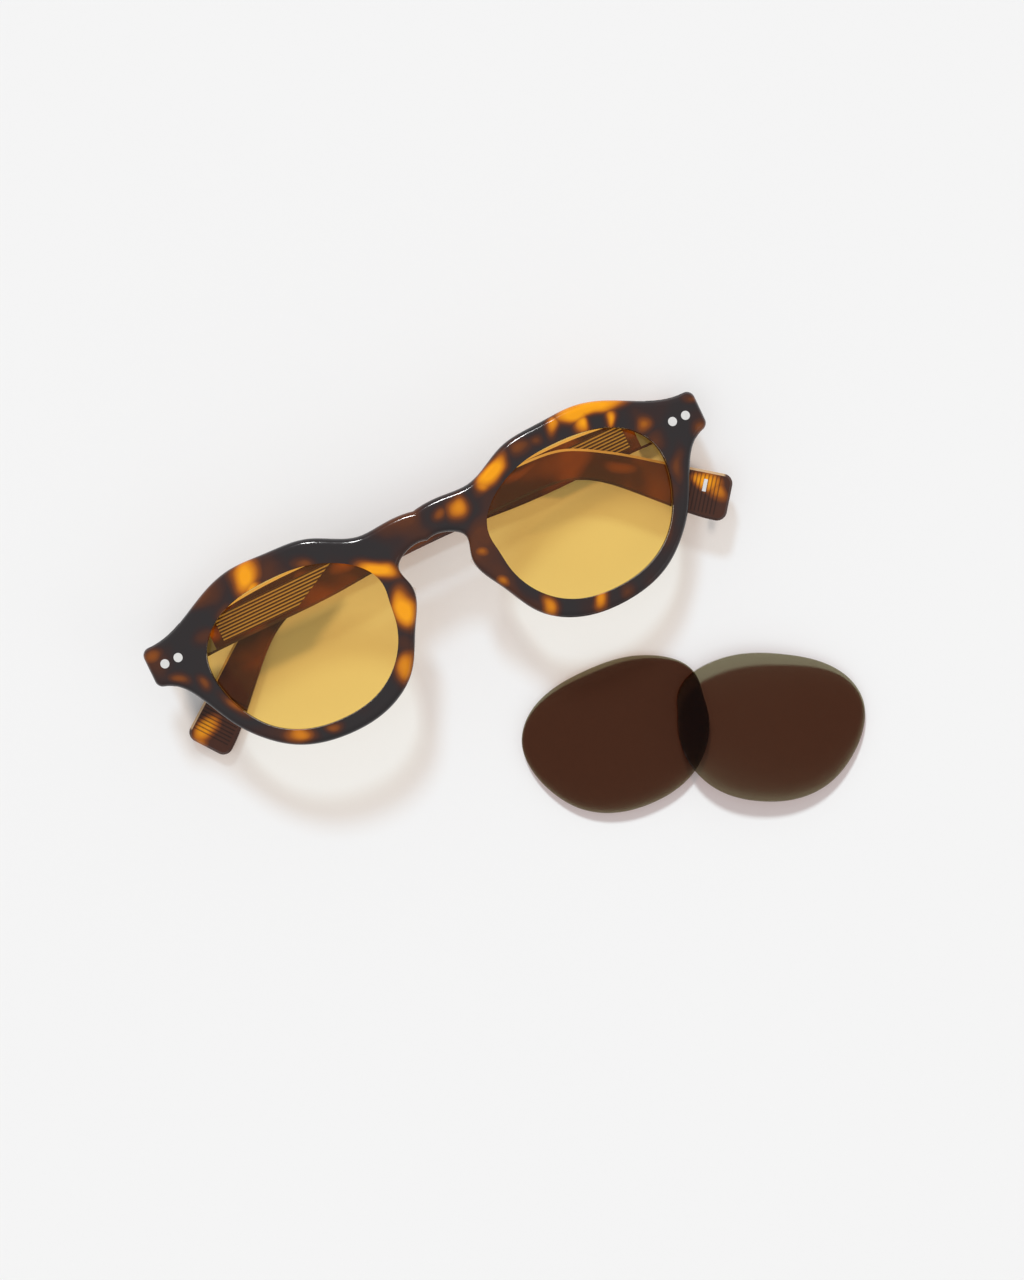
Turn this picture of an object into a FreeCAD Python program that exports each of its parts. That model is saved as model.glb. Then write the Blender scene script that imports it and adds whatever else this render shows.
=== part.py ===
import FreeCAD, Part
import math
import os

os.makedirs("parts", exist_ok=True)
V = FreeCAD.Vector
AXIS_X = V(1, 0, 0)
AXIS_Y = V(0, 1, 0)
AXIS_Z = V(0, 0, 1)

# Row frame: the right temple lies flat on the table at z = 0, x runs along the front from
# left to right, y runs towards the brow. All lengths are in mm and all angles in degrees.

# Front
FACE_RADIUS = 400.0          # bend of the front about an axis along y
FRONT_THICK = 4.6
FACE_EDGE_ROUND = 1.6
BACK_EDGE_ROUND = 0.9
END_CORNER_R = 2.0
END_CORNER_X = 70.0          # only the endpieces' corners lie further from the bridge than this
SEAT_Z = -10.3               # flat seat behind each endpiece, below the face at the bridge
SEAT_X = 61.5                # the seats begin this far from the bridge
SEAT_LOW_Y = -6.0
SEAT_RAMP = 1.4

# Fold
PIN_X = 66.0
PIN_BEHIND_SEAT = 4.4
PIN_Z = SEAT_Z - PIN_BEHIND_SEAT
ORIGIN_Y = 3.6               # the origin lies on the lower temple's outer face, under the bridge
RIGHT_FOLD = 3.0             # angle left between the front and the right temple
LEFT_OVERFOLD = 2.6          # the left temple is folded this far past parallel

# Temples
TEMPLE_THICK = 3.7
TEMPLE_EDGE_ROUND = 0.7
TEMPLE_FACET = 0.6
TIP_CORNER_R = 2.4
INNER_FACE_TO_PIN = 2.0
PIN_HEIGHT = TEMPLE_THICK + INNER_FACE_TO_PIN
BUTT = 4.1                   # the temple's square end lies this far beyond the pin
HOOK_ANGLE = 37.0

# Hinges
KNUCKLE_R = 1.5
KNUCKLE_LEN = 1.3
KNUCKLE_GAP = 0.12
HINGE_Y = 0.4
SCREW_R = 0.75
SCREW_HEAD_R = 1.25
SCREW_HEAD_LEN = 0.5
TEMPLE_BORE_R = 0.80
LEAF_THICK = 0.8
LEAF_HALF_Y = 4.0
LEAF_INBOARD = 4.0
LEAF_OUTBOARD = 1.5
TEMPLE_LEAF_THICK = 0.6
TEMPLE_LEAF_END = 9.0
TEMPLE_LEAF_LOW_Y = -2.2
TEMPLE_LEAF_HIGH_Y = 3.4

# Rivets
RIVET_X = (65.2, 68.7)
RIVET_R = 1.1
RIVET_PROUD = 0.1
RIVET_DEPTH = 1.4

# Lenses
LENS_RADIUS = 132.0
LENS_THICK = 2.0
LENS_X = 36.8
LENS_Y = -11.6
GROOVE_DEPTH = 0.8
OPENING_HALF_X = 22.6
OPENING_HALF_Y = 18.5
LENS_BEVEL = 0.3

# Core plates
CORE_START = 11.5
CORE_END_LOW = 31.0
CORE_END_HIGH = 43.5
CORE_LOW_Y = -1.5
CORE_HIGH_Y = 5.2
CORE_THICK = 0.6
CORE_LINES = 8
CORE_LINE_WIDTH = 0.25
CORE_LINE_DEPTH = 0.12
CORE_LINE_MARGIN = 0.6

# Tip ribs and inlay
RIB_COUNT = 12
RIB_PITCH = 0.95
RIB_WIDTH = 0.22
RIB_DEPTH = 0.12
RIB_MIDDLE = 130.0
RIB_MIDDLE_Y = -17.6
RIB_LENGTH = 9.4
INLAY_S = 132.4
INLAY_Y = -17.2
INLAY_LENGTH = 3.0
INLAY_WIDTH = 0.9
INLAY_THICK = 0.5
INLAY_PROUD = 0.05

# Nose pads
PAD_TOP_Z = -4.4
PAD_LOW_Z = -10.4

# Loose lenses on the table: centre x and y, and turn about z; the right one is tilted about its own y
DARK_LEFT = (22.0, -64.3, -1.4)
DARK_RIGHT = (56.0, -78.0, -30.8)
DARK_RIGHT_TILT = 4.45       # enough to lift its left end clear of the other lens
LOOSE_SCALE_X = 1.015        # the loose lenses are this much wider than the rim openings
LOOSE_SCALE_Y = 0.975
TALL = 60.0                  # longer than any part is high
REACH = 80.0                 # further from the bridge than any endpiece
EDGE_TOLERANCE = 0.01        # for telling edges apart by where they lie
RIM_LENGTH = 60.0            # only a lens's rim edges are longer than this
PAST = 1.0                   # how far a cutter runs past the face it starts from


def smooth_edge(points, closed=False):
    curve = Part.BSplineCurve()
    curve.interpolate([V(x, y, 0) for x, y in points], PeriodicFlag=closed)
    return curve.toShape()


def line_edge(start, end):
    return Part.makeLine(V(start[0], start[1], 0), V(end[0], end[1], 0))


def middle(edge):
    return edge.valueAt((edge.FirstParameter + edge.LastParameter) / 2)


def mirrored(shape):
    return shape.mirror(V(0, 0, 0), AXIS_X)


def prism(wire, low, high):
    solid = Part.Face(wire).extrude(V(0, 0, high - low))
    solid.translate(V(0, 0, low))
    return solid


def box(x0, x1, y0, y1, z0, z1):
    return Part.makeBox(x1 - x0, y1 - y0, z1 - z0, V(x0, y0, z0))


def face_drop(x):
    return FACE_RADIUS - math.sqrt(FACE_RADIUS ** 2 - x ** 2)


def one_solid(shape):
    shape = shape.removeSplitter()
    if len(shape.Solids) != 1:
        raise ValueError("expected one solid, found %d" % len(shape.Solids))
    return shape.Solids[0]


def on_front(shape):
    # carries a shape from the front's own frame to its place above the table
    shape = shape.copy()
    shape.rotate(V(PIN_X, 0, PIN_Z), AXIS_Y, RIGHT_FOLD)
    shape.translate(V(0, 0, PIN_HEIGHT - PIN_Z))
    return shape


def on_left_temple(shape):
    # carries a mirrored right-temple shape to the left temple's folded place
    shape = mirrored(shape)
    shape.translate(V(0, 0, PIN_Z - PIN_HEIGHT))
    shape.rotate(V(-PIN_X, 0, PIN_Z), AXIS_Y, -LEFT_OVERFOLD)
    return on_front(shape)


# Outlines, right half of the front
BROW = [(0, 7.3), (8, 7.7), (14.3, 7.5), (25.4, 12.2), (36, 13.4), (45, 13.6), (52, 11.8), (63.3, 6.5),
        (72.8, 5.3)]
RIM = [(72.8, -4.5), (67.6, -7.0), (64.5, -11.5), (60, -20.1), (55.3, -25.9), (48.7, -30.9), (36, -33.9),
       (25, -32.4), (16.7, -27), (11.4, -17.9), (7.9, -8.2), (8.8, -3.4), (5.6, -0.7), (0, -0.4)]
OPENING = [(14.0, -8), (14.8, -2.2), (21.6, 4.0), (29, 6.7), (38.2, 7.4), (47.8, 6.3), (55.2, 2.6), (59.2, -3.2),
           (59.6, -9.5), (57.2, -17.3), (52.5, -24.0), (45.0, -28.5), (36.4, -29.9), (26.4, -28.3), (18.5, -22.3),
           (15.0, -15)]
PAD = [(8.7, -8.6), (12.2, -9.8), (15.2, -17.6), (17.2, -22.0), (14.8, -22.8), (11.4, -17.0)]
PAD_SHRINK = 0.55
PAD_SHIFT = (1.6, 0.4)

# Outline of a temple, distance from the pin towards the tip and y
TEMPLE_TOP = [(-BUTT, 4.9), (8, 5.6), (22, 7.0), (45, 7.2), (75, 6.9), (97, 6.6), (104.5, 5.6), (111.5, 2.3),
              (118, -1.9), (126, -7.9), (134.2, -14.0)]
TIP = [(139.8, -18.2), (133.0, -27.3)]
TEMPLE_LOW = [(128.4, -23.8), (122.5, -17.9), (116.7, -11.8), (110.5, -6.0), (104, -2.4), (94, -1.1), (75, -1.3),
              (58, -1.4), (50, -1.9), (42, -2.5), (8, -2.8), (-BUTT, -3.7)]


def front_outline():
    right = [smooth_edge(BROW), line_edge(BROW[-1], RIM[0]), smooth_edge(RIM)]
    left = [mirrored(edge) for edge in right]
    return Part.Wire(Part.__sortEdges__(right + left))


def front_slab():
    # cross-section of the bent front in the xz plane, extruded along y
    back_radius = FACE_RADIUS - FRONT_THICK
    def face_point(x):
        return V(x, 0, -face_drop(x))
    def back_point(x):
        return V(x, 0, math.sqrt(back_radius ** 2 - x ** 2) - FACE_RADIUS)
    face = Part.Arc(face_point(-REACH), face_point(0), face_point(REACH)).toShape()
    back = Part.Arc(back_point(REACH), back_point(0), back_point(-REACH)).toShape()
    right_end = Part.makeLine(face_point(REACH), back_point(REACH))
    left_end = Part.makeLine(back_point(-REACH), face_point(-REACH))
    section = Part.Face(Part.Wire(Part.__sortEdges__([face, back, right_end, left_end])))
    section.translate(V(0, -TALL, 0))
    return section.extrude(V(0, 2 * TALL, 0))


def seat_block(side):
    # solid between the bent face and the flat seat, behind one endpiece
    near, far = SEAT_X, REACH
    corners = [(near, -face_drop(near) - PAST), (near, -face_drop(near) - FRONT_THICK), (near + SEAT_RAMP, SEAT_Z),
               (far, SEAT_Z), (far, -face_drop(far) - PAST)]
    points = [V(x, SEAT_LOW_Y, z) for x, z in corners]
    block = Part.Face(Part.makePolygon(points + points[:1])).extrude(V(0, TALL, 0))
    if side < 0:
        block = mirrored(block)
    return block


def lens_outline(scale_x=1.0, scale_y=1.0):
    points = [(LENS_X + (x - LENS_X) * scale_x, LENS_Y + (y - LENS_Y) * scale_y) for x, y in OPENING]
    return Part.Wire([smooth_edge(points, True)])


def right_lens():
    grow_x = 1 + GROOVE_DEPTH / OPENING_HALF_X
    grow_y = 1 + GROOVE_DEPTH / OPENING_HALF_Y
    lean = math.asin(LENS_X / FACE_RADIUS)
    apex = V(LENS_X, LENS_Y, -face_drop(LENS_X))
    centre = apex - V(math.sin(lean), 0, math.cos(lean)) * LENS_RADIUS
    shell = Part.makeSphere(LENS_RADIUS, centre).cut(Part.makeSphere(LENS_RADIUS - LENS_THICK, centre))
    return one_solid(prism(lens_outline(grow_x, grow_y), -TALL, TALL).common(shell))


def loose_lens(mirror):
    # a lens standing on its own edge plane with its convex side up, centred on the origin
    centre = V(0, 0, -LENS_RADIUS)
    shell = Part.makeSphere(LENS_RADIUS, centre).cut(Part.makeSphere(LENS_RADIUS - LENS_THICK, centre))
    outline = prism(lens_outline(LOOSE_SCALE_X, LOOSE_SCALE_Y), -TALL, TALL)
    outline.translate(V(-LENS_X, -LENS_Y, 0))
    lens = one_solid(outline.common(shell))
    rim_edges = [e for e in lens.Edges if e.Length > RIM_LENGTH]
    lens = lens.makeChamfer(LENS_BEVEL, rim_edges)
    if mirror:
        lens = mirrored(lens)
    return lens.Solids[0]


def rivet(x):
    lean = math.degrees(math.asin(x / FACE_RADIUS))
    peg = Part.makeCylinder(RIVET_R, RIVET_DEPTH + RIVET_PROUD, V(0, 0, -RIVET_DEPTH))
    peg.rotate(V(0, 0, 0), AXIS_Y, lean)
    peg.translate(V(x, 0, -face_drop(x)))
    return peg


def knuckle_y(slot):
    # centre of one of the five knuckles, numbered from -2 to 2
    return HINGE_Y + slot * (KNUCKLE_LEN + KNUCKLE_GAP)


def knuckle(slot, z_pin, toward):
    # a barrel round the pin with a web that reaches a leaf above or below it
    y0 = knuckle_y(slot) - KNUCKLE_LEN / 2
    barrel = Part.makeCylinder(KNUCKLE_R, KNUCKLE_LEN, V(PIN_X, y0, z_pin), AXIS_Y)
    low, high = sorted((z_pin, z_pin + toward))
    return barrel.fuse(box(PIN_X - KNUCKLE_R, PIN_X + KNUCKLE_R, y0, y0 + KNUCKLE_LEN, low, high))


def hinge_screw():
    half = knuckle_y(2) - HINGE_Y + KNUCKLE_LEN / 2
    shank = Part.makeCylinder(SCREW_R, 2 * half, V(PIN_X, HINGE_Y - half, PIN_Z), AXIS_Y)
    head = Part.makeCylinder(SCREW_HEAD_R, SCREW_HEAD_LEN, V(PIN_X, HINGE_Y + half, PIN_Z), AXIS_Y)
    return one_solid(shank.fuse(head))


def front_hinge(screw):
    leaf = box(PIN_X - LEAF_INBOARD, PIN_X + LEAF_OUTBOARD, HINGE_Y - LEAF_HALF_Y, HINGE_Y + LEAF_HALF_Y,
               SEAT_Z - LEAF_THICK, SEAT_Z)
    for slot in (-2, 0, 2):
        leaf = leaf.fuse(knuckle(slot, PIN_Z, PIN_BEHIND_SEAT - LEAF_THICK / 2))
    return one_solid(leaf.cut(screw))


def temple_hinge():
    leaf = box(PIN_X - TEMPLE_LEAF_END, PIN_X + KNUCKLE_R, TEMPLE_LEAF_LOW_Y, TEMPLE_LEAF_HIGH_Y,
               TEMPLE_THICK - TEMPLE_LEAF_THICK, TEMPLE_THICK)
    for slot in (-1, 1):
        leaf = leaf.fuse(knuckle(slot, PIN_HEIGHT, -INNER_FACE_TO_PIN - TEMPLE_LEAF_THICK / 2))
    bore_start = V(PIN_X, HINGE_Y - 2 * KNUCKLE_LEN, PIN_HEIGHT)
    bore = Part.makeCylinder(TEMPLE_BORE_R, 4 * KNUCKLE_LEN, bore_start, AXIS_Y)
    return one_solid(leaf.cut(bore))


def core_plate():
    low, high = CORE_LOW_Y, CORE_HIGH_Y
    corners = [(CORE_START, low), (CORE_END_LOW, low), (CORE_END_HIGH, high), (CORE_START, high)]
    points = [V(PIN_X - s, y, 0) for s, y in corners]
    plate = prism(Part.makePolygon(points + points[:1]), TEMPLE_THICK - CORE_THICK, TEMPLE_THICK)
    blank = plate.copy()
    pitch = (high - low - 2 * CORE_LINE_MARGIN) / (CORE_LINES - 1)
    for number in range(CORE_LINES):
        y = low + CORE_LINE_MARGIN + number * pitch
        groove = box(PIN_X - CORE_END_HIGH, PIN_X - CORE_START - PAST, y - CORE_LINE_WIDTH / 2, y + CORE_LINE_WIDTH / 2,
                     TEMPLE_THICK - CORE_LINE_DEPTH, TEMPLE_THICK + PAST)
        plate = plate.cut(groove)
    return one_solid(plate), blank


def temple_blank():
    def place(points):
        return [(PIN_X - s, y) for s, y in points]
    top, tip, low = place(TEMPLE_TOP), place(TIP), place(TEMPLE_LOW)
    edges = [smooth_edge(top + tip[:1]), line_edge(tip[0], tip[1]), smooth_edge(tip[1:] + low),
             line_edge(low[-1], top[0])]
    blank = prism(Part.Wire(Part.__sortEdges__(edges)), 0, TEMPLE_THICK)
    corners = [V(x, y, TEMPLE_THICK / 2) for x, y in tip]
    tip_edges = [e for e in blank.Edges if min((middle(e) - c).Length for c in corners) < EDGE_TOLERANCE]
    blank = blank.makeFillet(TIP_CORNER_R, tip_edges)
    inner = [e for e in blank.Edges if e.BoundBox.ZMin > TEMPLE_THICK - EDGE_TOLERANCE]
    blank = blank.makeChamfer(TEMPLE_FACET, inner)
    outer = [e for e in blank.Edges if e.BoundBox.ZMax < EDGE_TOLERANCE]
    return blank.makeFillet(TEMPLE_EDGE_ROUND, outer)


def along_hook(shape, s, y):
    # turns a shape drawn about the origin to the hook's direction and puts it at a point of the temple
    shape.rotate(V(0, 0, 0), AXIS_Z, HOOK_ANGLE)
    shape.translate(V(PIN_X - s, y, 0))
    return shape


def ribbed(temple):
    for number in range(RIB_COUNT):
        groove = box(-RIB_WIDTH / 2, RIB_WIDTH / 2, -RIB_LENGTH / 2, RIB_LENGTH / 2,
                     TEMPLE_THICK - RIB_DEPTH, TEMPLE_THICK + PAST)
        step = (number - (RIB_COUNT - 1) / 2) * RIB_PITCH
        groove.translate(V(-step, 0, 0))
        temple = temple.cut(along_hook(groove, RIB_MIDDLE, RIB_MIDDLE_Y))
    return temple


def tip_inlay():
    bar = box(-INLAY_WIDTH / 2, INLAY_WIDTH / 2, -INLAY_LENGTH / 2, INLAY_LENGTH / 2,
              TEMPLE_THICK - INLAY_THICK, TEMPLE_THICK + INLAY_PROUD)
    return along_hook(bar, INLAY_S, INLAY_Y)


def nose_pad():
    def ring(points, z):
        wire = Part.Wire([smooth_edge(points, True)])
        wire.translate(V(0, 0, z))
        return wire
    mid_x = sum(x for x, y in PAD) / len(PAD) + PAD_SHIFT[0]
    mid_y = sum(y for x, y in PAD) / len(PAD) + PAD_SHIFT[1]
    small = [(mid_x + (x - mid_x) * PAD_SHRINK, mid_y + (y - mid_y) * PAD_SHRINK) for x, y in PAD]
    return Part.makeLoft([ring(PAD, PAD_TOP_Z), ring(small, PAD_LOW_Z)], True)


def edges_at_depth(shape, depth):
    # the edges that lie this deep below the bent face
    radius = FACE_RADIUS - depth
    return [e for e in shape.Edges
            if abs(math.hypot(middle(e).x, middle(e).z + FACE_RADIUS) - radius) < EDGE_TOLERANCE]


def front_blank():
    # the bent front with thick endpieces, rounded all round, before its lenses and hardware
    outline = prism(front_outline(), -TALL / 2, TALL / 2)
    corners = [e for e in outline.Edges if e.BoundBox.ZLength > PAST and abs(middle(e).x) > END_CORNER_X]
    outline = outline.makeFillet(END_CORNER_R, corners)
    bent = outline.common(front_slab())
    bent = bent.makeFillet(FACE_EDGE_ROUND, edges_at_depth(bent, 0))
    bent = bent.makeFillet(BACK_EDGE_ROUND, edges_at_depth(bent, FRONT_THICK))
    ends = outline.common(seat_block(1)).fuse(outline.common(seat_block(-1)))
    below_seat = box(SEAT_X, REACH, -TALL, TALL, -TALL, SEAT_Z)
    return bent.fuse(ends).cut(below_seat).cut(mirrored(below_seat))


def opening_cut():
    return prism(lens_outline(), -TALL / 2, TALL / 2)


def on_table(lens, place, tilt):
    # tilts a loose lens, drops it until its lowest point meets the table, and puts it in its place
    x, y, turn = place
    lens.rotate(V(0, 0, 0), AXIS_Y, tilt)
    lens.translate(V(0, 0, -lens.optimalBoundingBox().ZMin))
    lens.rotate(V(0, 0, 0), AXIS_Z, turn)
    lens.translate(V(x, y, 0))
    return lens


# bodies of the front, in the front's own frame
lens_right = right_lens()
lens_left = mirrored(lens_right)
rivets = {}
for name, x in (("inner", RIVET_X[0]), ("outer", RIVET_X[1])):
    rivets["rivet_right_" + name] = rivet(x)
    rivets["rivet_left_" + name] = mirrored(rivet(x))
screw = hinge_screw()
front_leaf = front_hinge(screw)

front = front_blank()
for cutter in [opening_cut(), mirrored(opening_cut()), lens_right, lens_left] + list(rivets.values()):
    front = front.cut(cutter)
front = one_solid(front)

pad = one_solid(nose_pad().cut(front).cut(lens_right))

front_parts = {
    "front_frame": front,
    "lens_right": lens_right,
    "lens_left": lens_left,
    "nose_pad_right": pad,
    "nose_pad_left": mirrored(pad),
    "front_hinge_right": front_leaf,
    "front_hinge_left": mirrored(front_leaf),
    "hinge_screw_right": screw,
    "hinge_screw_left": mirrored(screw),
}
front_parts.update(rivets)

# bodies of the right temple, flat on the table, and the same shapes mirrored for the left one
core, core_pocket = core_plate()
temple_leaf = temple_hinge()
inlay = tip_inlay()
temple = temple_blank()
temple = one_solid(ribbed(temple.cut(core_pocket).cut(temple_leaf)))

dark_left = on_table(loose_lens(True), DARK_LEFT, 0)
dark_right = on_table(loose_lens(False), DARK_RIGHT, DARK_RIGHT_TILT)

parts = {name: on_front(shape) for name, shape in front_parts.items()}
parts["temple_right"] = temple
parts["core_plate_right"] = core
parts["temple_hinge_right"] = temple_leaf
parts["temple_left"] = one_solid(on_left_temple(temple.cut(inlay)))
parts["core_plate_left"] = on_left_temple(core)
parts["temple_hinge_left"] = on_left_temple(temple_leaf)
parts["tip_inlay"] = on_left_temple(inlay)
parts["dark_lens_left"] = dark_left
parts["dark_lens_right"] = dark_right

for name, shape in parts.items():
    shape.translate(V(0, -ORIGIN_Y, 0))
    shape.exportStep("parts/" + name + ".step")
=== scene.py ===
import math

import bpy
from mathutils import Matrix, Vector

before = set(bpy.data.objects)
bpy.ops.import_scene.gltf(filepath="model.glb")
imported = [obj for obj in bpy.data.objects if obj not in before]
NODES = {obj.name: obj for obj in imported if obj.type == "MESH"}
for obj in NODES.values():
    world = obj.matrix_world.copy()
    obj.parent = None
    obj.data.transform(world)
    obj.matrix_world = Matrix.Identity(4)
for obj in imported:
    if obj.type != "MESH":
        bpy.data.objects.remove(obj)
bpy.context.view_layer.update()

MM = 0.001
ORIGIN_Y = 3.6 * MM                          # the origin's y in the part's own outlines
FACE_RADIUS = 400 * MM                       # bend of the front
BEND_CENTRE = (-20.075 * MM, -375.618 * MM)  # x and z of the axis it is bent about


# ---------------------------------------------------------------- node helpers
class Tree:
    """A thin layer over a material's node tree."""

    def __init__(self, name):
        self.mat = bpy.data.materials.new(name)
        self.mat.use_nodes = True
        self.nt = self.mat.node_tree
        self.nt.nodes.clear()
        self.out = self.nt.nodes.new("ShaderNodeOutputMaterial")

    def add(self, kind, **values):
        node = self.nt.nodes.new("ShaderNode" + kind)
        for key, value in values.items():
            setattr(node, key, value)
        return node

    def set(self, socket, value):
        if isinstance(value, bpy.types.NodeSocket):
            self.nt.links.new(value, socket)
        else:
            socket.default_value = value

    def math(self, operation, a, b=0.0, clamp=False):
        node = self.add("Math", operation=operation, use_clamp=clamp)
        self.set(node.inputs[0], a)
        self.set(node.inputs[1], b)
        return node.outputs[0]

    def vector(self, operation, a, b=(0, 0, 0), scale=None):
        node = self.add("VectorMath", operation=operation)
        self.set(node.inputs[0], a)
        self.set(node.inputs[1], b)
        if scale is not None:
            self.set(node.inputs["Scale"], scale)
        return node.outputs["Value" if operation == "LENGTH" else "Vector"]

    def times(self, a, b):
        return self.math("MULTIPLY", a, b)

    def split(self, vector):
        node = self.add("SeparateXYZ")
        self.set(node.inputs[0], vector)
        return node.outputs["X"], node.outputs["Y"], node.outputs["Z"]

    def placed(self, vector, location, turn, scale=(1, 1, 1)):
        """The vector measured from a place, along axes turned by an angle in degrees, in units of scale."""
        node = self.add("Mapping", vector_type="TEXTURE")
        self.set(node.inputs["Vector"], vector)
        node.inputs["Location"].default_value = location
        node.inputs["Rotation"].default_value = (0, 0, math.radians(turn))
        node.inputs["Scale"].default_value = scale
        return node.outputs[0]

    def ramp(self, factor, stops):
        node = self.add("ValToRGB")
        node.color_ramp.interpolation = "LINEAR"
        elements = node.color_ramp.elements
        while len(elements) < len(stops):
            elements.new(0.5)
        for element, (place, color) in zip(elements, stops):
            element.position = place
            element.color = (*color, 1)
        self.set(node.inputs[0], factor)
        return node.outputs[0]

    def span(self, value, low, high, to_low=0.0, to_high=1.0):
        node = self.add("MapRange", interpolation_type="SMOOTHSTEP")
        self.set(node.inputs["Value"], value)
        ends = {"From Min": low, "From Max": high, "To Min": to_low, "To Max": to_high}
        for name, number in ends.items():
            self.set(node.inputs[name], number)
        return node.outputs["Result"]

    def noise(self, vector, scale, detail=2.0, rough=0.5, color=False):
        node = self.add("TexNoise")
        self.set(node.inputs["Vector"], vector)
        self.set(node.inputs["Scale"], scale)
        self.set(node.inputs["Detail"], detail)
        self.set(node.inputs["Roughness"], rough)
        return node.outputs["Color" if color else "Fac"]

    def mix(self, factor, a, b):
        node = self.add("Mix", data_type="RGBA")
        self.set(node.inputs[0], factor)
        for socket, value in ((node.inputs[6], a), (node.inputs[7], b)):
            self.set(socket, value if isinstance(value, bpy.types.NodeSocket) else (*value, 1))
        return node.outputs[2]

    def bump(self, height, strength, distance):
        node = self.add("Bump")
        self.set(node.inputs["Height"], height)
        self.set(node.inputs["Strength"], strength)
        self.set(node.inputs["Distance"], distance)
        return node.outputs[0]

    def coords(self):
        return self.add("TexCoord").outputs["Object"]

    def principled(self, **values):
        node = self.add("BsdfPrincipled")
        for key, value in values.items():
            socket = node.inputs[key.replace("_", " ")]
            if isinstance(value, tuple) and len(value) == 3 and socket.type == "RGBA":
                value = (*value, 1)
            self.set(socket, value)
        return node.outputs[0]

    def finish(self, shader):
        self.nt.links.new(shader, self.out.inputs[0])
        return self.mat


# ---------------------------------------------------------------- tortoiseshell
DARK = (0.0255, 0.0215, 0.0225)
UMBER = (0.036, 0.0190, 0.0175)
BROWN = (0.078, 0.0250, 0.0120)
RUST = (0.230, 0.0600, 0.0070)
ORANGE = (0.57, 0.175, 0.0045)
AMBER = (0.90, 0.345, 0.0040)
TORTOISE = [(0.0, DARK), (0.12, UMBER), (0.28, BROWN), (0.46, RUST), (0.64, ORANGE), (0.90, AMBER)]
CLEAR = (0.62, 0.50, 0.45)
# painted shade in the grooves of the tips' ribs
RIB_PAINTED_SHADE = (0.012, 0.008, 0.007)
# painted highlight on the temples' upper bevel
BEVEL_PAINTED_HIGHLIGHT = (0.80, 0.55, 0.30)
ACETATE_SHADOW = (0.86, 0.79, 0.73, 1)
ACETATE_IOR = 1.42

# Noises: their scales are per metre
FLATTEN = (1, 1, 0.35)       # the pattern runs deep into the sheet
WARP_SCALE = 120
WARP_REACH = 4.2 * MM
CLOUD_SCALE = 70
CLOUD_SHIFT = (0.31, 0.17, 0.05)
CLOUD_LOW = 0.42
CLOUD_HIGH = 0.72
GRAIN_SCALE = 420
GRAIN_DEPTH = 0.05
POLISH_SCALE = 900
POLISH_BEST = 0.10
POLISH_CHANGE = 0.05
RIPPLE_SCALE = 180
RIPPLE_STRENGTH = 0.03
RIPPLE_DISTANCE = 0.3 * MM

SPOT_OUTER = 1.95            # a spot fades out this many half sizes from its middle
SPOT_INNER = 0.05
SPOT_DEPTH = 1000            # a spot goes right through the sheet

# The clear layer at the back of the front starts between these depths
CLEAR_FROM = 3.1 * MM
CLEAR_TO = 3.6 * MM

# Painted shade along the grooves between the ribs on the tips
RIB_PITCH = 0.95 * MM
RIB_HALF = 0.5               # an even number of ribs, so they lie half a pitch off the middle
RIB_SPAN = 5.5 * RIB_PITCH
RIB_FADE = 0.4 * MM
RIB_REACH = 4.4 * MM
RIB_REACH_FADED = 4.9 * MM
RIB_MIDDLE = (64.0 * MM, -17.6 * MM - ORIGIN_Y)
HOOK_ANGLE = 37.0


def patches(tree, point, spots):
    """The strongest of several soft ellipses: x, y, half length and half width in mm, turn, strength."""
    field = None
    for x, y, length, width, turn, strength in spots:
        middle = (x * MM, y * MM - ORIGIN_Y, 0)
        reach = tree.vector("LENGTH", tree.placed(point, middle, turn, (length * MM, width * MM, SPOT_DEPTH)))
        value = tree.span(reach, SPOT_OUTER, SPOT_INNER, 0.0, strength)
        field = value if field is None else tree.math("MAXIMUM", field, value)
    return field


def depth_below_face(tree, here):
    """How far a point of the front lies behind its bent face."""
    x, _, z = tree.split(here)
    across = tree.math("SUBTRACT", x, BEND_CENTRE[0])
    up = tree.math("SUBTRACT", z, BEND_CENTRE[1])
    squares = tree.math("ADD", tree.times(across, across), tree.times(up, up))
    return tree.math("SUBTRACT", FACE_RADIUS, tree.math("SQRT", squares))


def off_line(tree, turns):
    """Distance from the nearest whole number, 0 to 0.5."""
    return tree.math("ABSOLUTE", tree.math("SUBTRACT", tree.math("FRACT", turns), 0.5))


def rib_painted_shade(tree, here, side):
    """Painted shade: thin dark lines along the tip's grooves. side is 1 for the right temple and -1 for the
    left one.
    """
    middle = (-side * RIB_MIDDLE[0], RIB_MIDDLE[1], 0)
    x, y, _ = tree.split(tree.placed(here, middle, side * HOOK_ANGLE))
    turns = tree.math("ADD", tree.math("DIVIDE", x, RIB_PITCH), 0.5 + RIB_HALF)
    line = tree.span(off_line(tree, turns), 0.24, 0.10)
    along = tree.span(tree.math("ABSOLUTE", x), RIB_SPAN + RIB_FADE, RIB_SPAN)
    across = tree.span(tree.math("ABSOLUTE", y), RIB_REACH_FADED, RIB_REACH)
    return tree.times(line, tree.times(along, across))


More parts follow.
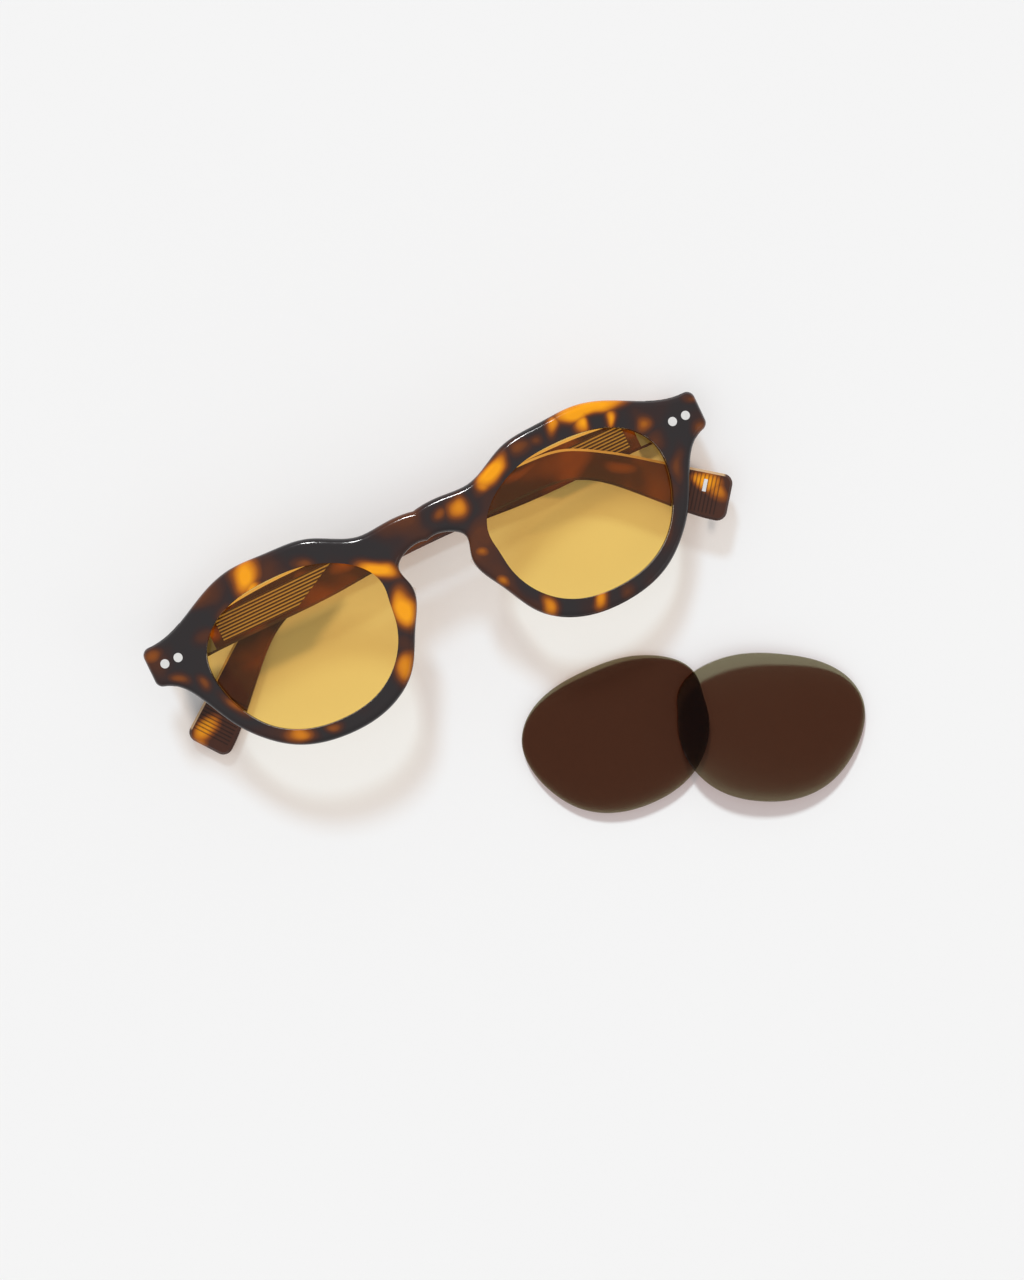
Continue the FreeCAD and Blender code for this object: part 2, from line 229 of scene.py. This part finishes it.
def tortoise(name, spots, cloud, holes=(), clear_back=False, ribs=0, base=0.0):
    """Mottled acetate: base and cloud bound the soft mottling between the spots, and holes are dark again."""
    tree = Tree(name)
    here = tree.coords()
    flat = tree.vector("MULTIPLY", here, FLATTEN)
    warp = tree.vector("SUBTRACT", tree.noise(flat, WARP_SCALE, 1.0, 0.4, True), (0.5, 0.5, 0.5))
    bent = tree.vector("ADD", flat, tree.vector("SCALE", warp, scale=WARP_REACH))
    field = patches(tree, bent, spots)
    soft = tree.noise(tree.vector("ADD", bent, CLOUD_SHIFT), CLOUD_SCALE, 1.0, 0.4)
    field = tree.math("MAXIMUM", field, tree.span(soft, CLOUD_LOW, CLOUD_HIGH, base, cloud))
    if holes:
        field = tree.times(field, tree.math("SUBTRACT", 1.0, patches(tree, bent, holes)))
    grain = tree.math("SUBTRACT", tree.noise(flat, GRAIN_SCALE, 2.0, 0.5), 0.5)
    field = tree.math("ADD", field, tree.times(grain, GRAIN_DEPTH), clamp=True)
    color = tree.ramp(field, TORTOISE)
    _, normal_y, normal_z = tree.split(tree.add("NewGeometry").outputs["Normal"])
    if ribs:
        # painted shade: dark lines along the tip's grooves
        color = tree.mix(tree.times(rib_painted_shade(tree, here, ribs), 0.6), color, RIB_PAINTED_SHADE)
        # painted highlight: the narrow bevel along a temple's upper edge faces up towards the key light, so
        # it is painted pale
        painted_highlight_mask = tree.times(tree.span(normal_y, 0.45, 0.62), tree.span(normal_z, 0.45, 0.60))
        color = tree.mix(tree.times(painted_highlight_mask, 0.8), color, BEVEL_PAINTED_HIGHLIGHT)
    if clear_back:
        wall = tree.span(tree.math("ABSOLUTE", normal_z), 0.80, 0.55)
        back = tree.span(depth_below_face(tree, here), CLEAR_FROM, CLEAR_TO)
        color = tree.mix(tree.times(tree.times(wall, back), 0.85), color, CLEAR)
    worn = tree.times(tree.noise(here, POLISH_SCALE), POLISH_CHANGE)
    ripple = tree.bump(tree.noise(here, RIPPLE_SCALE, 1.0), RIPPLE_STRENGTH, RIPPLE_DISTANCE)
    shader = tree.principled(Base_Color=color, Roughness=tree.math("ADD", POLISH_BEST, worn), Normal=ripple,
                             IOR=ACETATE_IOR)
    # acetate lets part of the light through, warm, so its shadows are pale
    glow = tree.add("BsdfTransparent")
    tree.set(glow.inputs["Color"], ACETATE_SHADOW)
    both = tree.add("MixShader")
    tree.set(both.inputs[0], tree.add("LightPath").outputs["Is Shadow Ray"])
    tree.set(both.inputs[1], shader)
    tree.set(both.inputs[2], glow.outputs[0])
    return tree.finish(both.outputs[0])


FRONT_SPOTS = [
    (-41.5, 10.3, 3.6, 3.1, 30, 1.00), (-41.5, 6.9, 2.4, 1.7, 4, 0.85), (-12.6, -1.7, 4.5, 1.9, -36, 1.00),
    (-15.5, -2.4, 2.9, 1.4, 14, 0.75), (-27.6, 7.3, 2.6, 1.5, -26, 0.40), (-10.6, -12.3, 4.5, 2.4, 74, 1.00),
    (-16.7, -25.6, 3.6, 1.9, 54, 0.72), (-46.8, -29.5, 3.6, 1.9, -26, 0.66),
    (-37.9, -31.4, 1.9, 1.2, -6, 0.45), (-57.1, -16.3, 3.6, 1.4, -60, 0.50), (-70.0, 3.2, 2.6, 1.4, 0, 0.46),
    (-66.6, -4.2, 2.4, 1.4, -46, 0.42), (-61.7, -8.3, 2.1, 1.4, -66, 0.40), (-50.1, 5.7, 2.4, 1.7, 24, 0.34),
    (-56.9, 1.0, 1.9, 1.9, 0, 0.28), (10.5, 4.0, 2.6, 2.6, 34, 0.72), (6.3, 3.9, 1.7, 1.7, 0, 0.45),
    (22.0, 7.2, 4.8, 2.1, 30, 1.00), (18.9, 5.2, 2.1, 1.7, 4, 0.70), (11.9, -8.4, 1.9, 1.2, -26, 0.52),
    (12.7, -17.2, 1.9, 1.4, -76, 0.58), (20.0, -26.7, 1.9, 2.9, -16, 0.70),
    (31.8, -31.6, 1.9, 2.6, -36, 0.74), (39.2, -31.8, 1.7, 1.4, 0, 0.30),
    (49.5, 12.0, 8.1, 2.1, -14, 1.00), (44.9, 12.3, 4.8, 2.4, 4, 1.00), (39.1, 11.1, 1.9, 1.9, 0, 0.85),
    (45.4, 8.9, 1.9, 2.1, -26, 0.95), (52.3, 7.3, 1.7, 2.1, -26, 0.90), (58.5, 2.5, 1.9, 2.1, 0, 0.52),
    (60.0, -2.2, 2.1, 2.1, 0, 0.30), (30.5, 10.2, 2.4, 1.9, -26, 0.38), (33.9, 10.2, 1.7, 1.4, -26, 0.34),
    (71.7, -4.5, 1.9, 2.4, -26, 0.42), (73.1, 3.3, 2.1, 1.2, -26, 0.34), (62.0, -10.2, 1.4, 3.8, -26, 0.34),
    (53.6, -22.8, 1.4, 4.8, -40, 0.30),
]
FRONT_HOLES = [
    (49.1, 7.9, 1.9, 2.4, -26, 1.00), (41.3, 8.7, 2.6, 1.9, -16, 1.00), (54.7, 5.1, 1.9, 2.1, -26, 1.00),
]
LEFT_TEMPLE_SPOTS = [
    (67.6, -16.8, 3.4, 2.2, -46, 0.95), (68.7, -20.0, 2.9, 1.9, -86, 0.62), (66.2, -15.1, 1.9, 1.9, 0, 0.80),
    (50.0, -5.0, 6.0, 2.0, -36, 0.42), (28.0, 4.4, 7.0, 1.6, 0, 0.44), (12.0, 3.0, 5.0, 2.4, 0, 0.44),
    (-18.0, 3.2, 6.0, 2.4, 0, 0.52), (-30.0, 3.8, 4.0, 3.0, 0, 0.44), (-57.0, 1.0, 3.2, 2.4, 0, 0.56),
]
RIGHT_TEMPLE_SPOTS = [
    (-68.6, -18.4, 4.1, 2.4, 24, 1.00), (-71.2, -20.9, 2.4, 2.0, 0, 0.60),
    (-62.3, -18.1, 2.4, 1.2, -56, 0.35),
    (-50.0, -8.0, 5.0, 2.0, 36, 0.40), (-28.0, 4.0, 6.0, 2.0, 0, 0.42), (0.0, 4.0, 6.0, 2.0, 0, 0.46),
    (30.0, 2.8, 5.0, 2.2, 0, 0.46), (56.0, 1.6, 3.0, 2.4, 0, 0.46),
]


# ---------------------------------------------------------------- lenses and clear plastic
DENSITY_SCALE = 35
DENSITY_CHANGE = 0.015
POLISHED = 0.015


def tinted(name, tint, index, shade=None, rough=POLISHED):
    """Clear tinted plastic. shade is the colour of the light that it passes on, where that differs."""
    tree = Tree(name)
    here = tree.coords()
    through = tree.add("BsdfTransparent")
    density = tree.noise(here, DENSITY_SCALE, 1.0)
    thin = tuple(c * (1 - DENSITY_CHANGE) for c in tint)
    thick = tuple(min(1.0, c * (1 + DENSITY_CHANGE)) for c in tint)
    color = tree.mix(density, thin, thick)
    if shade:
        color = tree.mix(tree.add("LightPath").outputs["Is Camera Ray"], shade, color)
    tree.set(through.inputs["Color"], color)
    shine = tree.add("BsdfGlossy")
    tree.set(shine.inputs["Color"], (1, 1, 1, 1))
    tree.set(shine.inputs["Roughness"], rough)
    fresnel = tree.add("Fresnel")
    fresnel.inputs["IOR"].default_value = index
    outside = tree.math("SUBTRACT", 1.0, tree.add("NewGeometry").outputs["Backfacing"])
    both = tree.add("MixShader")
    tree.set(both.inputs[0], tree.times(fresnel.outputs[0], outside))
    tree.set(both.inputs[1], through.outputs[0])
    tree.set(both.inputs[2], shine.outputs[0])
    return tree.finish(both.outputs[0])


def root(color):
    """The tint of one face of a lens that has this colour through both faces."""
    return tuple(math.sqrt(c) for c in color)


# ---------------------------------------------------------------- metals
CORE_LOW_Y = -1.5 * MM
CORE_HIGH_Y = 5.2 * MM
CORE_LINES = 8
CORE_LINE_MARGIN = 0.6 * MM
CORE_FIRST_LINE = CORE_LOW_Y + CORE_LINE_MARGIN - ORIGIN_Y
CORE_LINE_PITCH = (CORE_HIGH_Y - CORE_LOW_Y - 2 * CORE_LINE_MARGIN) / (CORE_LINES - 1)
# painted highlight: the bright lines along the core plate's grooves
GILT_PAINTED_GLINT = (0.98, 0.70, 0.36)
BRONZE_DARK = (0.11, 0.055, 0.040)
BRONZE_LIGHT = (0.21, 0.11, 0.08)
CORE_GRAIN = (90, 1500, 1)
EVEN_GRAIN = (900, 900, 900)
BRUSHED_GRAIN = (300, 2600, 300)
METAL_DULLING = 0.12         # how much rougher the worn parts are
METAL_SHADE = 0.90           # how much darker the streaks are
METAL_BUMP = 0.03
METAL_BUMP_DISTANCE = 0.2 * MM


def metal(name, color, rough, grain=EVEN_GRAIN, metallic=1.0):
    tree = Tree(name)
    lines = tree.noise(tree.vector("MULTIPLY", tree.coords(), grain), 1.0, 3.0, 0.6)
    tone = tree.mix(lines, tuple(c * METAL_SHADE for c in color), color)
    worn = tree.math("ADD", rough, tree.times(lines, METAL_DULLING))
    bump = tree.bump(lines, METAL_BUMP, METAL_BUMP_DISTANCE)
    return tree.finish(tree.principled(Base_Color=tone, Metallic=metallic, Roughness=worn, Normal=bump))


def core_metal():
    """Dull bronze plate with a painted highlight: a bright gilt line along each groove."""
    tree = Tree("core_plate")
    here = tree.coords()
    _, y, _ = tree.split(here)
    turns = tree.math("DIVIDE", tree.math("SUBTRACT", y, CORE_FIRST_LINE), CORE_LINE_PITCH)
    line = tree.span(off_line(tree, tree.math("ADD", turns, 0.5)), 0.30, 0.14)
    wear = tree.noise(tree.vector("MULTIPLY", here, CORE_GRAIN), 1.0, 2.0, 0.5)
    # painted highlight: gilt along each groove, over the bronze
    color = tree.mix(line, tree.mix(wear, BRONZE_DARK, BRONZE_LIGHT), GILT_PAINTED_GLINT)
    rough = tree.math("ADD", 0.34, tree.times(wear, METAL_DULLING))
    return tree.finish(tree.principled(Base_Color=color, Metallic=1.0, Roughness=rough))


def floor_material():
    tree = Tree("pale_floor")
    tone = tree.mix(tree.noise(tree.coords(), 6, 2.0), (0.865, 0.865, 0.865), (0.875, 0.875, 0.875))
    return tree.finish(tree.principled(Base_Color=tone, Roughness=0.9, Specular_IOR_Level=0.0))


materials = {
    "front": tortoise("tortoiseshell_front", FRONT_SPOTS, 0.30, holes=FRONT_HOLES, clear_back=True),
    "left_temple": tortoise("tortoiseshell_left_temple", LEFT_TEMPLE_SPOTS, 0.46, ribs=-1, base=0.22),
    "right_temple": tortoise("tortoiseshell_right_temple", RIGHT_TEMPLE_SPOTS, 0.46, ribs=1, base=0.22),
    "amber": tinted("amber_lens", root((1.0, 0.69, 0.195)), 1.4, root((1.0, 0.95, 0.85))),
    "brown": tinted("dark_lens", root((0.29, 0.275, 0.175)), 1.2, root((0.219, 0.079, 0.060))),
    "pad": tinted("clear_pad", root((0.95, 0.91, 0.89)), 1.3, None, 0.05),
    "rivet": metal("rivet_metal", (0.84, 0.83, 0.81), 0.38, metallic=0.3),
    "hinge": metal("hinge_metal", (0.62, 0.60, 0.57), 0.28, BRUSHED_GRAIN),
    "gilt": core_metal(),
}
LOOKS = {
    "front_frame": "front", "temple_left": "left_temple", "temple_right": "right_temple",
    "lens_left": "amber", "lens_right": "amber", "dark_lens_left": "brown", "dark_lens_right": "brown",
    "nose_pad_left": "pad", "nose_pad_right": "pad", "tip_inlay": "rivet",
    "core_plate_left": "gilt", "core_plate_right": "gilt",
}
for name, node in NODES.items():
    look = LOOKS.get(name) or ("rivet" if name.startswith("rivet") else "hinge")
    node.data.materials.clear()
    node.data.materials.append(materials[look])

# ---------------------------------------------------------------- floor, light, camera
FLOOR_SIZE = 60
FLOOR_DROP = 0.1 * MM        # just under the lowest parts, which stand at z = 0
bpy.ops.mesh.primitive_plane_add(size=FLOOR_SIZE, location=(0, 0, -FLOOR_DROP))
floor = bpy.context.object
floor.name = "floor"
floor.data.materials.append(floor_material())

WHITE = (1.0, 1.0, 1.0, 1)
SKY_STRENGTH = 0.40
WALL_STRENGTH = 0.93


def studio_world():
    """White light from all round. Beyond the table, the camera sees a paler wall."""
    world = bpy.data.worlds.new("studio")
    world.use_nodes = True
    nodes = world.node_tree.nodes
    links = world.node_tree.links
    sky = nodes["Background"]
    sky.inputs["Color"].default_value = WHITE
    sky.inputs["Strength"].default_value = SKY_STRENGTH
    wall = nodes.new("ShaderNodeBackground")
    wall.inputs["Color"].default_value = WHITE
    wall.inputs["Strength"].default_value = WALL_STRENGTH
    seen = nodes.new("ShaderNodeMixShader")
    links.new(nodes.new("ShaderNodeLightPath").outputs["Is Camera Ray"], seen.inputs[0])
    links.new(sky.outputs[0], seen.inputs[1])
    links.new(wall.outputs[0], seen.inputs[2])
    links.new(seen.outputs[0], nodes["World Output"].inputs["Surface"])
    return world


def far_light(name, direction, spread, strength, reflected):
    """A distant soft light, so the floor is evenly lit: spread is its apparent width in degrees."""
    lamp = bpy.data.lights.new(name, "SUN")
    lamp.angle = math.radians(spread)
    lamp.energy = strength
    light = bpy.data.objects.new(name, lamp)
    bpy.context.scene.collection.objects.link(light)
    light.rotation_euler = Vector(direction).to_track_quat("Z", "Y").to_euler()
    light.visible_glossy = reflected


bpy.context.scene.world = studio_world()
far_light("key", (0.20, 1.0, 1.00), 9, 2.15, True)
far_light("fill", (-0.3, -0.2, 1.4), 45, 0.50, False)
far_light("edge", (0.9, -0.9, 0.75), 26, 0.10, True)

CAMERA_AT = Vector((0.0232, -0.0037, 0.6616))
CAMERA_RIGHT = Vector((0.9027, -0.4303, 0.0))
CAMERA_AHEAD = Vector((-0.0225, -0.0472, -0.9986))
CAMERA_SENSOR = 36.0         # mm
CAMERA_LENS = 75.94          # mm
CAMERA_NEAR = 0.01


def aimed_camera():
    data = bpy.data.cameras.new("camera")
    data.sensor_width = CAMERA_SENSOR
    data.lens = CAMERA_LENS
    data.clip_start = CAMERA_NEAR
    camera = bpy.data.objects.new("camera", data)
    bpy.context.scene.collection.objects.link(camera)
    back = -CAMERA_AHEAD.normalized()
    right = (CAMERA_RIGHT - CAMERA_RIGHT.dot(back) * back).normalized()
    turn = Matrix((right, back.cross(right), back)).transposed()
    camera.matrix_world = Matrix.Translation(CAMERA_AT) @ turn.to_4x4()
    return camera


bpy.context.scene.camera = aimed_camera()
bpy.context.scene.view_settings.view_transform = "Standard"
bpy.context.scene.view_settings.look = "None"
